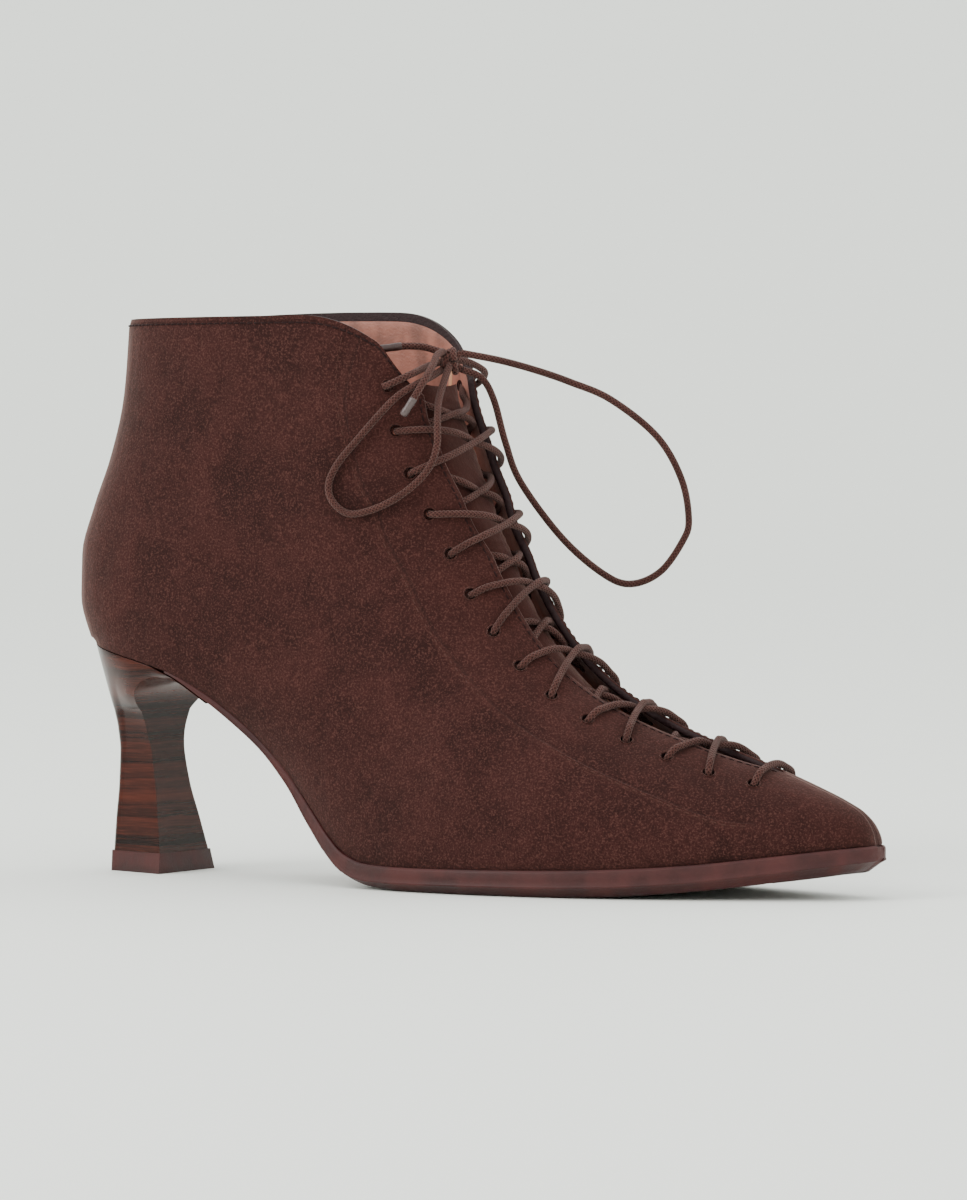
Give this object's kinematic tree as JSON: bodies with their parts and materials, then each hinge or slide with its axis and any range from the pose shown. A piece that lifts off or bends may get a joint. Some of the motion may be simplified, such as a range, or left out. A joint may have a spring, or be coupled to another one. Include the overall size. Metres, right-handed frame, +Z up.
{
  "type": "lace-up ankle boot",
  "caption": "Right lace-up ankle boot with a pointed toe, a long V-shaped throat laced through punched holes, a thin rubber sole and a waisted block heel.",
  "frame": {"origin": "on the floor, under the middle of the boot's length and of its sole's width", "axes": "+X to the toe, +Y to the inner (medial) side of this right shoe, +Z up"},
  "size_m": [0.25, 0.09, 0.1599],
  "materials": {
    "suede": "dark brown suede, matte with a soft nap",
    "sole_rubber": "burgundy rubber, satin",
    "heel_block": "polished, with level dark stripes like ebony",
    "insole_leather": "smooth pinkish tan lining leather",
    "lace": "round woven lace, reddish brown, matte",
    "aglet": "clear-coated lace tip, dark brown"
  },
  "bodies": {
    "root": {"upper": "suede", "outsole": "sole_rubber", "heel": "heel_block", "heel_lift": "sole_rubber", "tongue": "suede", "insole": "insole_leather", "over_cross_1": "lace", "over_cross_2": "lace", "over_cross_3": "lace", "over_cross_4": "lace", "over_cross_5": "lace", "over_cross_6": "lace", "under_cross_1": "lace", "under_cross_2": "lace", "under_cross_3": "lace", "under_cross_4": "lace", "under_cross_5": "lace", "under_cross_6": "lace", "under_cross_7": "lace", "toe_bar": "lace", "tie_near": "lace", "tie_far": "lace", "loop_near": "lace", "loop_far": "lace", "end_near": "lace", "end_far": "lace", "knot": "lace", "aglet_near": "aglet", "aglet_far": "aglet"}
  },
  "joints": []
}
